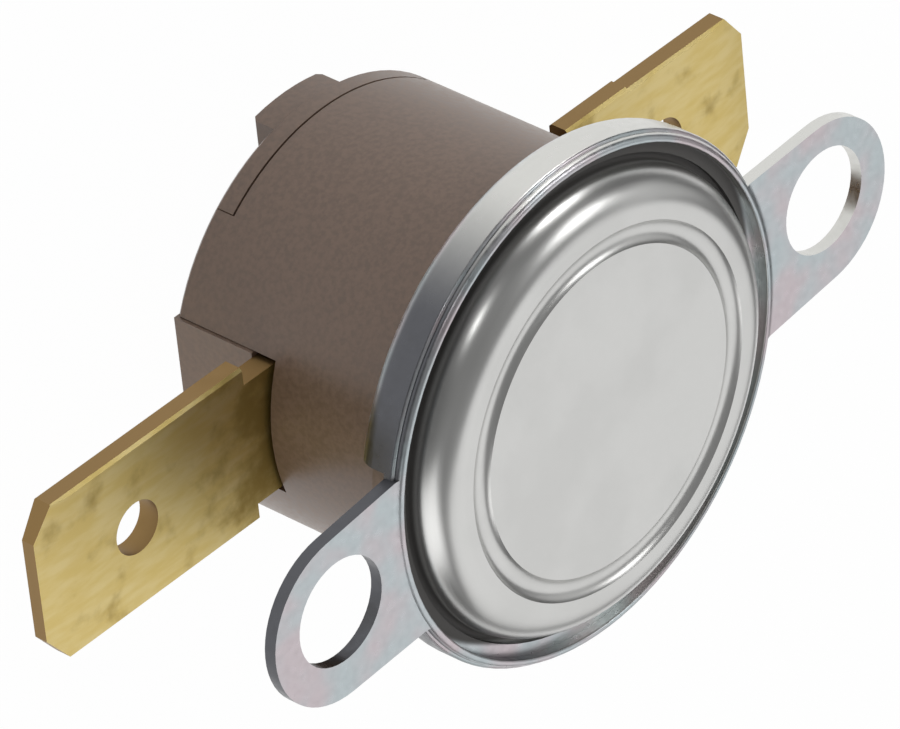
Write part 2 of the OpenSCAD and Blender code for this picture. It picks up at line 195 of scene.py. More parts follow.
@dataclass(frozen=True)
class PaintedGrooveShade:
    """Painted shade in the groove between the cap and the flange's rim, drawn as a dull dark coat, in mm.

    The painted shade is heavier on one side and thins to a line at the cap's foot toward the lit side.
    """

    # Colour of the painted shade in the groove
    colour: str = "#5f5d5b"
    roughness: float = 0.7
    cap_side: tuple[float, float] = (7.95, 8.09)
    rim_side: tuple[float, float] = (8.14, 8.7)
    rim_fade: float = 0.24
    lit_way: tuple[float, float, float] = (0.42, -0.91, 0.0)
    lit_at: tuple[float, float] = (0.0, 4.5)
    deep: float = -0.25
    clear: float = 0.05

    def mask(self, tree: bpy.types.NodeTree, place: bpy.types.Node) -> bpy.types.NodeSocket:
        """Finds the groove.

        Args:
            tree: Node tree.
            place: Texture Coordinate node.

        Returns:
            1 deep in the groove and 0 outside it.
        """
        reach = from_axis(tree, place)
        cap, rim = self.cap_side, self.rim_side
        beyond = add(tree, "ShaderNodeMapRange", {0: reach, 1: cap[0] * MM, 2: cap[1] * MM}, **SOFT)
        # The painted shade reaches further out on the shaded side of the ring and pulls back toward the lit
        # side
        sides = {0: place.outputs["Object"], 1: self.lit_way}
        along = add(tree, "ShaderNodeVectorMath", sides, operation="DOT_PRODUCT").outputs["Value"]
        start, end = self.lit_at
        edge = {0: along, 1: start * MM, 2: end * MM, 3: rim[1] * MM, 4: rim[0] * MM}
        shade_reach = add(tree, "ShaderNodeMapRange", edge, **SOFT).outputs[0]
        past = add(tree, "ShaderNodeMath", {0: reach, 1: shade_reach}, operation="SUBTRACT").outputs[0]
        inner = {0: past, 1: 0.0, 2: self.rim_fade * MM, 3: beyond.outputs[0], 4: 0.0}
        ring = add(tree, "ShaderNodeMapRange", inner, **SOFT)
        low = {0: object_z(tree, place), 1: self.deep * MM, 2: self.clear * MM, 3: ring.outputs[0], 4: 0.0}
        return add(tree, "ShaderNodeMapRange", low, **SOFT).outputs[0]

    def over(
        self,
        tree: bpy.types.NodeTree,
        place: bpy.types.Node,
        colour: bpy.types.NodeSocket,
        roughness: bpy.types.NodeSocket,
    ) -> Inputs:
        """Lays the painted groove shade over a bare metal.

        Args:
            tree: Node tree.
            place: Texture Coordinate node.
            colour: Colour of the metal.
            roughness: Roughness of the metal.

        Returns:
            Inputs of the Principled shader.
        """
        share = self.mask(tree, place)
        shaded = {0: share, 6: colour, 7: linear(self.colour)}
        return {
            "Base Color": add(tree, "ShaderNodeMix", shaded, data_type="RGBA").outputs[2],
            "Roughness": add(tree, "ShaderNodeMix", {0: share, 2: roughness, 3: self.roughness}).outputs[0],
            "Metallic": add(tree, "ShaderNodeMath", {0: 1.0, 1: share}, operation="SUBTRACT").outputs[0],
        }


@dataclass(frozen=True)
class Finish:
    """Surface of one material: what it is made of and how it was made."""

    name: str
    slot: Slot
    base: str
    metallic: float
    roughness: float

    def material(self) -> bpy.types.Material:
        """Builds the material.

        Returns:
            A material with one Principled shader.
        """
        made = bpy.data.materials.new(self.name)
        made.use_nodes = True
        tree = made.node_tree
        tree.nodes.clear()
        place = add(tree, "ShaderNodeTexCoord")
        look = {"Metallic": self.metallic, "Base Color": linear(self.base), "Roughness": self.roughness}
        shader = add(tree, "ShaderNodeBsdfPrincipled", look | self.detail(tree, place))
        add(tree, "ShaderNodeOutputMaterial", {"Surface": shader.outputs["BSDF"]})
        return made

    def detail(self, tree: bpy.types.NodeTree, place: bpy.types.Node) -> Inputs:
        """Adds what the eye sees on this finish.

        Args:
            tree: Node tree.
            place: Texture Coordinate node.

        Returns:
            Inputs of the Principled shader.
        """
        return {}


@dataclass(frozen=True)
class ZincPlate(Finish):
    """Bright zinc plate on stamped steel: silvery, with a faint film of pink, lilac and pale blue."""

    rose: str = "#c9bfc3"
    blue: str = "#bcc5c8"
    drawn: str = "#d6d6d2"
    # Colour of the painted shade on the drawn wall's -X side, and the X span in mm over which it fades out
    shaded_wall: str = "#5c5d61"
    shaded_wall_mm: tuple[float, float] = (-5.8, -0.4)
    film_mm: float = 2.6
    film_fade: tuple[float, float] = (0.36, 0.64)
    grain_mm: float = 0.3
    grain_fade: tuple[float, float] = (0.25, 0.75)
    grain_gloss: tuple[float, float] = (-0.06, 0.08)
    grain_depth_mm: float = 0.0005
    # Painted shade in the groove
    groove_shade: PaintedGrooveShade = PaintedGrooveShade()

    def detail(self, tree: bpy.types.NodeTree, place: bpy.types.Node) -> Inputs:
        """Adds the film's colours, the drawn wall with painted shade toward -X, painted shade in the groove
        and the plate's fine grain.

        Args:
            tree: Node tree.
            place: Texture Coordinate node.

        Returns:
            Inputs of the Principled shader.
        """
        at = place.outputs["Object"]
        cloud = add(tree, "ShaderNodeTexNoise", {"Vector": at, "Scale": per_mm(self.film_mm), "Detail": 2.0})
        low, high = self.film_fade
        share = add(tree, "ShaderNodeMapRange", {0: cloud.outputs["Fac"], 1: low, 2: high}, **SOFT)
        film = add(
            tree,
            "ShaderNodeMix",
            {0: share.outputs[0], 6: linear(self.rose), 7: linear(self.blue)},
            data_type="RGBA",
        )
        # Painted shade: the drawn wall goes from the drawn colour to a dark grey toward -X
        side = add(tree, "ShaderNodeSeparateXYZ", {0: at}).outputs["X"]
        dark, bright = self.shaded_wall_mm
        fade = add(tree, "ShaderNodeMapRange", {0: side, 1: dark * MM, 2: bright * MM}, **SOFT)
        wall = add(
            tree,
            "ShaderNodeMix",
            {0: fade.outputs[0], 6: linear(self.shaded_wall), 7: linear(self.drawn)},
            data_type="RGBA",
        )
        plate = add(
            tree,
            "ShaderNodeMix",
            {0: upright(tree, place), 6: film.outputs[2], 7: wall.outputs[2]},
            data_type="RGBA",
        )
        # The plate's real grain is finer than the render shows, so it is drawn coarser.
        grain = add(tree, "ShaderNodeTexNoise", {"Vector": at, "Scale": per_mm(self.grain_mm), "Detail": 4.0})
        height = grain.outputs["Fac"]
        low, high = self.grain_fade
        less, more = self.grain_gloss
        gloss = {0: height, 1: low, 2: high, 3: self.roughness + less, 4: self.roughness + more}
        rough = add(tree, "ShaderNodeMapRange", gloss, **SOFT)
        bump = add(tree, "ShaderNodeBump", {"Height": height, "Distance": self.grain_depth_mm * MM})
        # Painted shade over the metal in the groove
        shaded = self.groove_shade.over(tree, place, plate.outputs[2], rough.outputs[0])
        return shaded | {"Normal": bump.outputs[0]}


@dataclass(frozen=True)
class SatinAluminium(Finish):
    """Drawn aluminium sheet with a satin skin: pale grey, soft reflections and a fine grain."""

    pale: str = "#d4d4d2"
    cloud_mm: float = 3.0
    cloud_fade: tuple[float, float] = (0.35, 0.65)
    grain_mm: float = 0.22
    grain_fade: tuple[float, float] = (0.25, 0.75)
    grain_gloss: float = 0.02
    line_mm: float = 0.16
    lined_mm: tuple[float, float] = (6.4, 6.9)
    relief_mm: float = 0.0005
    # Painted shade in the groove
    groove_shade: PaintedGrooveShade = PaintedGrooveShade()

    def detail(self, tree: bpy.types.NodeTree, place: bpy.types.Node) -> Inputs:
        """Adds soft clouding, painted shade in the groove, the satin grain and the shoulder's drawing lines.

        Args:
            tree: Node tree.
            place: Texture Coordinate node.

        Returns:
            Inputs of the Principled shader.
        """
        at = place.outputs["Object"]
        cloud = add(tree, "ShaderNodeTexNoise", {"Vector": at, "Scale": per_mm(self.cloud_mm), "Detail": 2.0})
        low, high = self.cloud_fade
        share = add(tree, "ShaderNodeMapRange", {0: cloud.outputs["Fac"], 1: low, 2: high}, **SOFT)
        skin = add(
            tree,
            "ShaderNodeMix",
            {0: share.outputs[0], 6: linear(self.base), 7: linear(self.pale)},
            data_type="RGBA",
        )
        # The satin grain and the drawing lines are finer than a pixel, so they are drawn coarser.
        grain = add(tree, "ShaderNodeTexNoise", {"Vector": at, "Scale": per_mm(self.grain_mm), "Detail": 4.0})
        reach = from_axis(tree, place)
        along = add(tree, "ShaderNodeCombineXYZ", {"X": reach, "Z": object_z(tree, place)}).outputs[0]
        drawn = {"Vector": along, "Scale": per_mm(self.line_mm), "Detail": 3.0}
        lines = add(tree, "ShaderNodeTexNoise", drawn)
        face, shoulder = self.lined_mm
        lined = add(tree, "ShaderNodeMapRange", {0: reach, 1: face * MM, 2: shoulder * MM}, **SOFT)
        relief = {0: lined.outputs[0], 2: grain.outputs["Fac"], 3: lines.outputs["Fac"]}
        height = add(tree, "ShaderNodeMix", relief).outputs[0]
        low, high = self.grain_fade
        spread = self.grain_gloss
        gloss = {0: height, 1: low, 2: high, 3: self.roughness - spread, 4: self.roughness + spread}
        rough = add(tree, "ShaderNodeMapRange", gloss, **SOFT)
        bump = add(tree, "ShaderNodeBump", {"Height": height, "Distance": self.relief_mm * MM})
        # Painted shade over the metal in the groove
        shaded = self.groove_shade.over(tree, place, skin.outputs[2], rough.outputs[0])
        return shaded | {"Normal": bump.outputs[0]}


@dataclass(frozen=True)
class RolledStrip(Finish):
    """Rolled sheet or strip: streaks along its length, a dulled film in places, darker sheared edges."""

    streak: str = "#cdb468"
    dull: str = "#8f8350"
    edge: str = "#7d6236"
    root_mm: float = 0.0
    fade_mm: float = 3.2
    turn_deg: float = 4.5
    streak_mm: float = 0.4
    streak_stretch: float = 4.0
    streak_fade: tuple[float, float] = (0.3, 0.7)
    streak_depth_mm: float = 0.003
    dull_mm: float = 1.4
    dull_fade: tuple[float, float] = (0.52, 0.85)
    # Film added toward the root: partly an olive film, partly painted shade near the body
    root_film_and_shade: float = 0.3
    dull_gloss: float = 0.12

    def detail(self, tree: bpy.types.NodeTree, place: bpy.types.Node) -> Inputs:
        """Adds the rolling streaks, the dulled film, the darker root, which is partly painted shade, and the
        cut edges.

        Args:
            tree: Node tree.
            place: Texture Coordinate node.

        Returns:
            Inputs of the Principled shader.
        """
        at = place.outputs["Object"]
        turned = add(
            tree, "ShaderNodeMapping", {"Vector": at, "Rotation": (0, 0, math.radians(self.turn_deg))}
        )
        stretch = (1 / self.streak_stretch, 1, 1)
        drawn = add(tree, "ShaderNodeMapping", {"Vector": turned.outputs[0], "Scale": stretch})
        # Rolling marks are finer than a pixel, so they are drawn coarser.
        marks = add(
            tree,
            "ShaderNodeTexNoise",
            {"Vector": drawn.outputs[0], "Scale": per_mm(self.streak_mm), "Detail": 4.0},
        ).outputs["Fac"]
        low, high = self.streak_fade
        share = add(tree, "ShaderNodeMapRange", {0: marks, 1: low, 2: high}, **SOFT)
        sheet = add(
            tree,
            "ShaderNodeMix",
            {0: share.outputs[0], 6: linear(self.base), 7: linear(self.streak)},
            data_type="RGBA",
        )
        blotch = add(tree, "ShaderNodeTexNoise", {"Vector": at, "Scale": per_mm(self.dull_mm), "Detail": 6.0})
        # The film grows toward the root: partly olive film, partly painted shade where the body and flange
        # darken the blade
        reach = add(tree, "ShaderNodeVectorMath", {0: at}, operation="LENGTH").outputs["Value"]
        end_mm = self.root_mm + self.fade_mm
        ends = {0: reach, 1: self.root_mm * MM, 2: end_mm * MM, 3: self.root_film_and_shade, 4: 0.0}
        near = add(tree, "ShaderNodeMapRange", ends, **SOFT)
        heavy = add(tree, "ShaderNodeMath", {0: blotch.outputs["Fac"], 1: near.outputs[0]}, operation="ADD")
        low, high = self.dull_fade
        film = add(tree, "ShaderNodeMapRange", {0: heavy.outputs[0], 1: low, 2: high}, **SOFT).outputs[0]
        dulled = add(
            tree, "ShaderNodeMix", {0: film, 6: sheet.outputs[2], 7: linear(self.dull)}, data_type="RGBA"
        )
        colour = add(
            tree,
            "ShaderNodeMix",
            {0: upright(tree, place), 6: dulled.outputs[2], 7: linear(self.edge)},
            data_type="RGBA",
        )
        gloss = {0: film, 3: self.roughness, 4: self.roughness + self.dull_gloss}
        rough = add(tree, "ShaderNodeMapRange", gloss)
        bump = add(tree, "ShaderNodeBump", {"Height": marks, "Distance": self.streak_depth_mm * MM})
        return {
            "Base Color": colour.outputs[2],
            "Roughness": rough.outputs[0],
            "Normal": bump.outputs[0],
        }


@dataclass(frozen=True)
class Phenolic(Finish):
    """Brown phenolic moulding: a soft gloss over a fine mottle of filler."""

    dark: str = "#7a6455"
    ior: float = 1.6
    mottle_mm: float = 0.2
    mottle_fade: tuple[float, float] = (0.3, 0.7)
    mottle_gloss: float = 0.05
    mottle_depth_mm: float = 0.004

    def detail(self, tree: bpy.types.NodeTree, place: bpy.types.Node) -> Inputs:
        """Adds the filler's mottle and the faint orange peel of the mould.

        Args:
            tree: Node tree.
            place: Texture Coordinate node.

        Returns:
            Inputs of the Principled shader.
        """
        mottle = add(
            tree,
            "ShaderNodeTexNoise",
            {"Vector": place.outputs["Object"], "Scale": per_mm(self.mottle_mm), "Detail": 5.0},
        ).outputs["Fac"]
        low, high = self.mottle_fade
        share = add(tree, "ShaderNodeMapRange", {0: mottle, 1: low, 2: high}, **SOFT)
        colour = add(
            tree,
            "ShaderNodeMix",
            {0: share.outputs[0], 6: linear(self.dark), 7: linear(self.base)},
            data_type="RGBA",
        )
        spread = self.mottle_gloss
        gloss = {0: mottle, 1: low, 2: high, 3: self.roughness - spread, 4: self.roughness + spread}
        rough = add(tree, "ShaderNodeMapRange", gloss, **SOFT)
        bump = add(tree, "ShaderNodeBump", {"Height": mottle, "Distance": self.mottle_depth_mm * MM})
        return {
            "Base Color": colour.outputs[2],
            "Roughness": rough.outputs[0],
            "IOR": self.ior,
            "Normal": bump.outputs[0],
        }


@dataclass(frozen=True)
class FineGrain(Finish):
    """Small plain piece, such as a ceramic pin or a silver contact, with a fine even grain."""

    second: str = "#d8d6d0"
    grain_mm: float = 0.25
    grain_fade: tuple[float, float] = (0.3, 0.7)
    grain_depth_mm: float = 0.003

    def detail(self, tree: bpy.types.NodeTree, place: bpy.types.Node) -> Inputs:
        """Adds the grain to colour and surface.

        Args:
            tree: Node tree.
            place: Texture Coordinate node.

        Returns:
            Inputs of the Principled shader.
        """
        grain = add(
            tree,
            "ShaderNodeTexNoise",
            {"Vector": place.outputs["Object"], "Scale": per_mm(self.grain_mm), "Detail": 4.0},
        ).outputs["Fac"]
        low, high = self.grain_fade
        share = add(tree, "ShaderNodeMapRange", {0: grain, 1: low, 2: high}, **SOFT)
        colour = add(
            tree,
            "ShaderNodeMix",
            {0: share.outputs[0], 6: linear(self.base), 7: linear(self.second)},
            data_type="RGBA",
        )
        bump = add(tree, "ShaderNodeBump", {"Height": grain, "Distance": self.grain_depth_mm * MM})
        return {"Base Color": colour.outputs[2], "Normal": bump.outputs[0]}


class Finishes:
    """The part's materials, each built once."""

    ALL: tuple[Finish, ...] = (
        # Stamped steel with bright zinc: silvery with a faint coloured film.
        ZincPlate("bright zinc plate", Slot.ZINC, "#c3c1c4", 1.0, 0.32),
        # Drawn aluminium: pale satin grey.
        SatinAluminium("satin aluminium", Slot.ALUMINIUM, "#cfcfcd", 1.0, 0.31),
        # Rolled bimetal: plain grey steel.
        RolledStrip(
            "rolled bimetal",
            Slot.BIMETAL,
            "#9d9da1",
            1.0,
            0.35,
            streak="#aaaaad",
            dull="#8b8b8e",
            edge="#77777a",
        ),
        # Phenolic moulding: warm brown under a greyish sheen.
        Phenolic("brown phenolic moulding", Slot.PHENOLIC, "#8a7262", 0.0, 0.36),
        # Unglazed ceramic: off-white and matt.
        FineGrain("unglazed ceramic", Slot.CERAMIC, "#ebe8e0", 0.0, 0.6, second="#dedad0"),
        # Rolled brass: straw yellow, dulled to olive near the body, where the darkening is partly painted
        # shade.
        RolledStrip(
            "rolled brass",
            Slot.BRASS,
            "#dfc77e",
            1.0,
            0.44,
            streak="#e6d294",
            dull="#b39b58",
            edge="#8f744b",
            root_mm=10.0,
        ),
        # Contact silver: white metal with a soft shine.
        FineGrain("contact silver", Slot.SILVER, "#dededb", 1.0, 0.28, second="#d2d2cf"),
        # Rolled spring copper: reddish strip.
        RolledStrip(
            "rolled spring copper",
            Slot.COPPER,
            "#c88a5c",
            1.0,
            0.32,
            streak="#d49a6c",
            dull="#a06c48",
            edge="#84583a",
        ),
    )

    def __init__(self) -> None:
        """Builds every material."""
        self._by_slot = {finish.slot: finish.material() for finish in self.ALL}

    def material(self, slot: Slot) -> bpy.types.Material:
        """The material of a slot."""
        return self._by_slot[slot]

    def on(self, piece: bpy.types.Object, slot: Slot) -> None:
        """Dresses a piece.

        Args:
            piece: Mesh object.
            slot: Material slot of the record.
        """
        piece.data.materials.clear()
        piece.data.materials.append(self._by_slot[slot])
        LOG.info("%s: %s", piece.name, slot.value)


def arc(centre: tuple[float, float], radius: float, start: float, end: float, steps: int = 10) -> Profile:
    """Points along an arc of a profile.

    Args:
        centre: Middle of the arc, radius and height, in mm.
        radius: Radius in mm.
        start: First angle in degrees.
        end: Last angle in degrees.
        steps: Number of steps.

    Returns:
        The points, in mm.
    """
    angles = [math.radians(start + (end - start) * i / steps) for i in range(steps + 1)]
    return [(centre[0] + radius * math.cos(a), centre[1] + radius * math.sin(a)) for a in angles]


class Lathe:
    """Geometry Nodes tree that turns a profile about an axis along Z."""

    JOIN = 0.0005 * MM

    def __init__(self) -> None:
        """Builds the tree with its named inputs."""
        tree = bpy.data.node_groups.new("turned piece", "GeometryNodeTree")
        self.tree = tree
        self._ids: dict[str, str] = {}
        for name, kind in (
            ("Profile", "NodeSocketGeometry"),
            ("Segments", "NodeSocketInt"),
            ("Points", "NodeSocketInt"),
            ("Axis", "NodeSocketVector"),
            ("Finish", "NodeSocketMaterial"),
        ):
            socket = tree.interface.new_socket(name, in_out="INPUT", socket_type=kind)
            self._ids[name] = socket.identifier
        tree.interface.new_socket("Mesh", in_out="OUTPUT", socket_type="NodeSocketGeometry")
        given = add(tree, "NodeGroupInput").outputs
        columns = add(tree, "ShaderNodeMath", {0: given["Segments"], 1: 1.0}, operation="ADD")
        grid = add(
            tree,
            "GeometryNodeMeshGrid",
            {
                "Size X": 1.0,
                "Size Y": 1.0,
                "Vertices X": columns.outputs[0],
                "Vertices Y": given["Points"],
            },
        )
        where = add(tree, "GeometryNodeInputPosition").outputs[0]
        on_grid = add(tree, "ShaderNodeSeparateXYZ", {0: where}).outputs
        turn = add(
            tree,
            "ShaderNodeMath",
            {0: on_grid["X"], 1: 2 * math.pi, 2: math.pi},
            operation="MULTIPLY_ADD",
        )
        last = add(tree, "ShaderNodeMath", {0: given["Points"], 1: 1.0}, operation="SUBTRACT").outputs[0]
        along = add(tree, "ShaderNodeMath", {0: on_grid["Y"], 1: 0.5}, operation="ADD").outputs[0]
        step = add(tree, "ShaderNodeMath", {0: along, 1: last}, operation="MULTIPLY").outputs[0]
        number = add(tree, "ShaderNodeMath", {0: step}, operation="ROUND").outputs[0]
        point = add(
            tree,
            "GeometryNodeSampleIndex",
            {"Geometry": given["Profile"], "Index": number},
            data_type="FLOAT_VECTOR",
            domain="POINT",
        )
        tree.links.new(where, point.inputs["Value"])
        at = add(tree, "ShaderNodeSeparateXYZ", {0: point.outputs[0]}).outputs
        cos = add(tree, "ShaderNodeMath", {0: turn.outputs[0]}, operation="COSINE").outputs[0]
        sin = add(tree, "ShaderNodeMath", {0: turn.outputs[0]}, operation="SINE").outputs[0]
        x = add(tree, "ShaderNodeMath", {0: at["X"], 1: cos}, operation="MULTIPLY").outputs[0]
        y = add(tree, "ShaderNodeMath", {0: at["X"], 1: sin}, operation="MULTIPLY").outputs[0]
        turned = add(tree, "ShaderNodeCombineXYZ", {"X": x, "Y": y, "Z": at["Z"]}).outputs[0]
        placed = add(
            tree, "ShaderNodeVectorMath", {0: turned, 1: given["Axis"]}, operation="ADD"
        ).outputs[0]
        shape = add(
            tree, "GeometryNodeSetPosition", {"Geometry": grid.outputs["Mesh"], "Position": placed}
        )
        closed = add(
            tree,
            "GeometryNodeMergeByDistance",
            {"Geometry": shape.outputs["Geometry"], "Distance": self.JOIN},
        )
        real = add(tree, "GeometryNodeRealizeInstances", {"Geometry": closed.outputs["Geometry"]})
        dressed = add(
            tree,
            "GeometryNodeSetMaterial",
            {"Geometry": real.outputs["Geometry"], "Material": given["Finish"]},
        )
        add(tree, "NodeGroupOutput", {"Mesh": dressed.outputs["Geometry"]})

    def turn(
        self,
        name: str,
        profile: Profile,
        axis: tuple[float, float],
        finish: bpy.types.Material,
        segments: int = 96,
    ) -> bpy.types.Object:
        """Turns a profile into a plain mesh.

        Args:
            name: Name of the piece.
            profile: Radius and height of each point in mm, starting and ending on the axis.
            axis: Place of the axis in X and Y, in mm.
            finish: Material.
            segments: Steps round the axis.

        Returns:
            The piece, at the origin.
        """
        outline = bpy.data.meshes.new(name + "_profile")
        outline.from_pydata([(r * MM, 0.0, z * MM) for r, z in profile], [], [])
        piece = bpy.data.objects.new(name, outline)
        bpy.context.scene.collection.objects.link(piece)
        modifier = piece.modifiers.new("turned", "NODES")
        modifier.node_group = self.tree
        modifier[self._ids["Segments"]] = segments
        modifier[self._ids["Points"]] = len(profile)
        modifier[self._ids["Axis"]] = (axis[0] * MM, axis[1] * MM, 0.0)
        modifier[self._ids["Finish"]] = finish
        depsgraph = bpy.context.evaluated_depsgraph_get()
        mesh = bpy.data.meshes.new_from_object(piece.evaluated_get(depsgraph))
        piece.modifiers.clear()
        piece.data = mesh
        bpy.data.meshes.remove(outline)
        settle(mesh)
        return piece


def settle(mesh: bpy.types.Mesh) -> None:
    """Merges doubles, turns faces outward and smooths all but the sharp edges.

    Args:
        mesh: Mesh to settle.
    """
    work = bmesh.new()
    work.from_mesh(mesh)
    bmesh.ops.remove_doubles(work, verts=work.verts[:], dist=MERGE)
    bmesh.ops.dissolve_degenerate(work, edges=work.edges[:], dist=MERGE / 4)
    bmesh.ops.recalc_face_normals(work, faces=work.faces[:])
    work.to_mesh(mesh)
    work.free()
    mesh.shade_smooth()
    mesh.set_sharp_from_angle(angle=math.radians(SHARP_DEG))


def level(mesh: bpy.types.Mesh) -> None:
    """Shades a mesh so that its flat faces look flat and its rounds look round.

    Args:
        mesh: Settled mesh.
    """
    limit = math.cos(math.radians(SHARP_DEG))
    around: list[list[tuple[Vector, float]]] = [[] for _ in mesh.vertices]
    for face in mesh.polygons:
        for corner in face.vertices:
            around[corner].append((face.normal.copy(), face.area))
    normals: list[Vector] = []
    for face in mesh.polygons:
        for corner in face.vertices:
            near = [normal * area for normal, area in around[corner] if normal.dot(face.normal) > limit]
            normals.append(sum(near, Vector()).normalized())
    mesh.normals_split_custom_set(normals)


@dataclass
class SubAssembly:
    """Pieces of the switch that are built and dressed together."""

    finishes: Finishes
    lathe: Lathe

    def copy(self, node: str, slot: Slot) -> bpy.types.Object:
        """Dresses a smooth copy of a CAD node, whose own mesh is loose flat triangles.

        Args:
            node: Name of the node.
            slot: Its material slot.

        Returns:
            The copy, which rides on no body yet.
        """
        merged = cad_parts[node].data.copy()
        settle(merged)
        level(merged)
        piece = bpy.data.objects.new("smooth_" + node, merged)
        bpy.context.scene.collection.objects.link(piece)
        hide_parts(node)
        self.finishes.on(piece, slot)
        return piece

    def smooth(self, node: str, slot: Slot) -> None:
        """Shows a node of the switch's fixed body as its smooth copy.

        Args:
            node: Name of the node.
            slot: Its material slot.
        """
        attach(self.copy(node, slot), Body.SWITCH.value)

    def stand_in(
        self,
        node: str,
        body: Body,
        slot: Slot,
        profile: Profile,
        axis: tuple[float, float] = (0.0, 0.0),
        segments: int = 96,
    ) -> None:
        """Turns a piece that stands for a round CAD node.

        Args:
            node: Name of the node.
            body: Body that the piece rides on.
            slot: Its material slot.
            profile: Radius and height of each point in mm, starting and ending on the axis.
            axis: Place of the axis in X and Y, in mm.
            segments: Steps round the axis.
        """
        piece = self.lathe.turn("turned_" + node, profile, axis, self.finishes.material(slot), segments)
        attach(piece, body.value)
        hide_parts(node)
        self.finishes.on(piece, slot)


@dataclass
class SensingCap(SubAssembly):
    """Drawn cap: sensing face, pressed ring, rounded shoulder and the lip under the flange, in mm."""

    wall_r: float = 8.1
    sheet_t: float = 0.4
    rise: float = 0.95
    shoulder_round: float = 1.25
    foot_round: float = 0.15
    land_w: float = 0.35
    ring_w: float = 0.8
    ring_depth: float = 0.2
    lip_r: float = 8.7
    lip_front: float = -0.45
    face_rings: int = 5
    segments: int = 240

    def profile(self) -> Profile:
        """Section of the sheet, from the sensing face over the ring to the lip and back inside.

        Returns:
            Radius and height of each point in mm.
        """
        t = self.sheet_t
        ring_round = (self.ring_w**2 / 4 + self.ring_depth**2) / (2 * self.ring_depth)
        ring_r = self.wall_r - self.shoulder_round - self.land_w - self.ring_w / 2
        ring = (ring_r, self.rise + ring_round - self.ring_depth)
        turn = math.degrees(math.asin(self.ring_w / 2 / ring_round))
        back_turn = math.degrees(math.acos((ring[1] - self.rise + t) / (ring_round + t)))
        shoulder = (self.wall_r - self.shoulder_round, self.rise - self.shoulder_round)
        foot = (self.wall_r + self.foot_round, self.lip_front + self.foot_round)
        spread = [(ring_r * i / self.face_rings, self.rise) for i in range(self.face_rings)]
        return (
            spread
            + arc(ring, ring_round, 270 - turn, 270 + turn, 16)
            + arc(shoulder, self.shoulder_round, 90, 0, 16)
            + arc(foot, self.foot_round, 180, 270, 6)
            + [(self.lip_r, self.lip_front), (self.lip_r, self.lip_front - t)]
            + arc(foot, self.foot_round + t, 270, 180, 6)
            + arc(shoulder, self.shoulder_round - t, 0, 90)
            + arc(ring, ring_round + t, 270 + back_turn, 270 - back_turn)
            + [(0.0, self.rise - t)]
        )

    def build(self) -> None:
        """Turns the cap in place of its node."""
        self.stand_in("sensor_cap", Body.SWITCH, Slot.ALUMINIUM, self.profile(), segments=self.segments)


@dataclass
class MountingFlange(SubAssembly):
    """Stamped flange with its two ears and the collar crimped round the body."""

    def build(self) -> None:
        """Dresses the flange."""
        self.smooth("mounting_flange", Slot.ZINC)


@dataclass
class MouldedBody(SubAssembly):
    """Moulded body with its rear cover and the pin's guide."""

    def build(self) -> None:
        """Dresses the mouldings."""
        for node in ("housing", "rear_cover", "pin_guide"):
            self.smooth(node, Slot.PHENOLIC)


@dataclass
class BladeTerminals(SubAssembly):
    """The two brass blades."""

    def build(self) -> None:
        """Dresses the blades."""
        for node in ("fixed_terminal", "arm_terminal"):
            self.smooth(node, Slot.BRASS)


